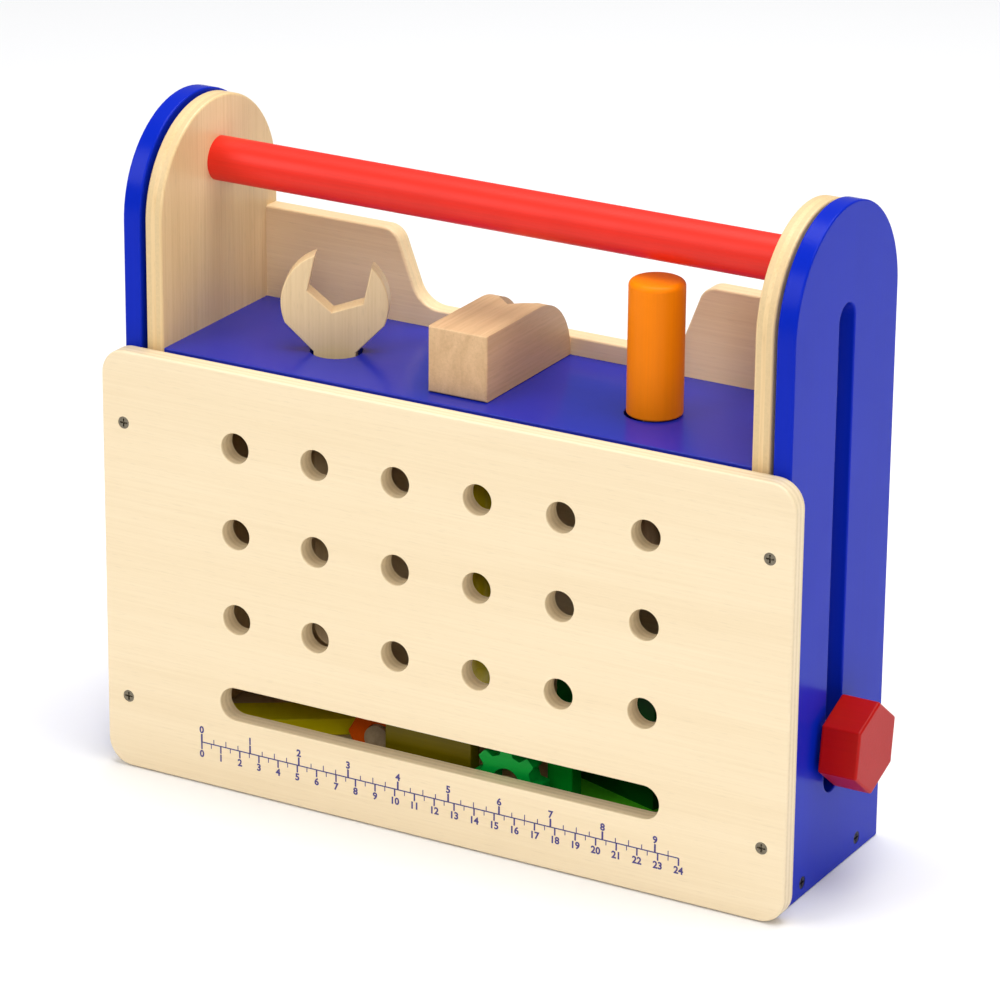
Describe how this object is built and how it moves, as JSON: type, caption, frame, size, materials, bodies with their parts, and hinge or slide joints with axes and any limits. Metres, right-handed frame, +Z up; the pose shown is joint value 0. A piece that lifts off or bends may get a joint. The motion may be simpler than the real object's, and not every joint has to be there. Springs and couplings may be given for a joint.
{
  "type": "toy workbench",
  "caption": "Child's plywood tool box and workbench: pegboard front with a printed ruler, sliding inner unit with a tool shelf, carrying bar, hex clamp knobs, toy tools.",
  "frame": {"origin": "middle of the bounding box's bottom face, on the floor under the middle of the box", "axes": "+X across the width, to the right seen from the front; the pegboard front faces -Y; +Z up"},
  "size_m": [0.3668, 0.106, 0.3025],
  "materials": {
    "front_ply": "clear satin lacquer",
    "blue_paint": "satin paint",
    "side_ply": "clear satin lacquer",
    "back_ply": "clear satin lacquer",
    "red_paint": "satin paint",
    "knob_red": "satin paint",
    "steel": "zinc-plated, brushed",
    "beech": "clear satin lacquer",
    "yellow_paint": "satin paint",
    "wrench_ply": "clear satin lacquer",
    "orange_paint": "satin paint",
    "plain_dowel": "clear satin lacquer",
    "olive_paint": "satin paint",
    "nut_orange": "satin paint",
    "green_dark": "satin paint",
    "green_light": "satin paint"
  },
  "bodies": {
    "outer_unit": {"front_panel": "front_ply", "front_screws": "steel", "outer_side_left": "blue_paint", "outer_side_right": "blue_paint", "bottom_board": "side_ply", "base_screws": "steel"},
    "inner_unit": {"inner_side_left": "side_ply", "inner_side_right": "side_ply", "shelf": "blue_paint", "back_panel": "back_ply", "handle_bar": "red_paint", "bar_screws": "steel", "shelf_screws": "steel", "back_screws": "steel", "tee_nut_left": "steel", "tee_nut_right": "steel", "slot_guide_left": "plain_dowel", "slot_guide_right": "plain_dowel"},
    "washer_left": {"washer_left": "steel"},
    "washer_right": {"washer_right": "steel"},
    "clamp_left": {"knob_left": "knob_red", "stud_left": "steel"},
    "clamp_right": {"knob_right": "knob_red", "stud_right": "steel"},
    "hammer": {"hammer_head": "beech", "hammer_handle": "yellow_paint"},
    "wrench": {"wrench": "wrench_ply"},
    "screwdriver": {"screwdriver_handle": "orange_paint", "screwdriver_shank": "plain_dowel"},
    "toy_strip": {"toy_strip": "yellow_paint"},
    "toy_plate": {"toy_plate": "olive_paint"},
    "toy_post": {"toy_post": "green_dark"},
    "toy_bolt": {"toy_bolt": "plain_dowel"},
    "toy_nut": {"toy_nut": "nut_orange"},
    "toy_gear": {"toy_gear": "green_dark"},
    "toy_bracket": {"toy_bracket": "green_light"}
  },
  "joints": [
    {"name": "inner_lift", "type": "slide", "parent": "outer_unit", "child": "inner_unit", "axis": [0, 0, 1], "range_m": [0, 0.1884]},
    {"name": "clamp_left_turn", "type": "hinge", "parent": "washer_left", "child": "clamp_left", "pos_m": [-0.1736, 0.0045, 0.0636], "axis": [-1, 0, 0], "range_deg": [0, 720]},
    {"name": "washer_left_shift", "type": "slide", "parent": "inner_unit", "child": "washer_left", "axis": [-1, 0, 0], "range_m": [0, 0.0025]},
    {"name": "clamp_right_turn", "type": "hinge", "parent": "washer_right", "child": "clamp_right", "pos_m": [0.1736, 0.0045, 0.0636], "axis": [1, 0, 0], "range_deg": [0, 720]},
    {"name": "washer_right_shift", "type": "slide", "parent": "inner_unit", "child": "washer_right", "axis": [1, 0, 0], "range_m": [0, 0.0025]},
    {"name": "hammer_lift", "type": "slide", "parent": "inner_unit", "child": "hammer", "axis": [0, 0, 1], "range_m": [0, 0.034]},
    {"name": "wrench_lift", "type": "slide", "parent": "inner_unit", "child": "wrench", "axis": [0, 0, 1], "range_m": [0, 0.017]},
    {"name": "screwdriver_lift", "type": "slide", "parent": "inner_unit", "child": "screwdriver", "axis": [0, 0, 1], "range_m": [0, 0.0045]},
    {"name": "toy_strip_lift", "type": "slide", "parent": "outer_unit", "child": "toy_strip", "axis": [0, 0, 1], "range_m": [0, 0.03]},
    {"name": "toy_plate_lift", "type": "slide", "parent": "outer_unit", "child": "toy_plate", "axis": [0, 0, 1], "range_m": [0, 0.03]},
    {"name": "toy_bolt_lift", "type": "slide", "parent": "outer_unit", "child": "toy_bolt", "axis": [0, 0, 1], "range_m": [0, 0.03]},
    {"name": "toy_nut_turn", "type": "hinge", "parent": "toy_bolt", "child": "toy_nut", "pos_m": [-0.0435, -0.02, 0.0293], "axis": [0, 1, 0], "range_deg": [-180, 180]},
    {"name": "toy_gear_lift", "type": "slide", "parent": "outer_unit", "child": "toy_gear", "axis": [0, 0, 1], "range_m": [0, 0.03]},
    {"name": "toy_post_lift", "type": "slide", "parent": "outer_unit", "child": "toy_post", "axis": [0, 0, 1], "range_m": [0, 0.03]},
    {"name": "toy_bracket_lift", "type": "slide", "parent": "outer_unit", "child": "toy_bracket", "axis": [0, 0, 1], "range_m": [0, 0.025]}
  ],
  "couplings": [
    {"joint": "washer_left_shift", "follows": "clamp_left_turn", "m_per_rad": 0.0001989},
    {"joint": "washer_right_shift", "follows": "clamp_right_turn", "m_per_rad": 0.0001989}
  ]
}
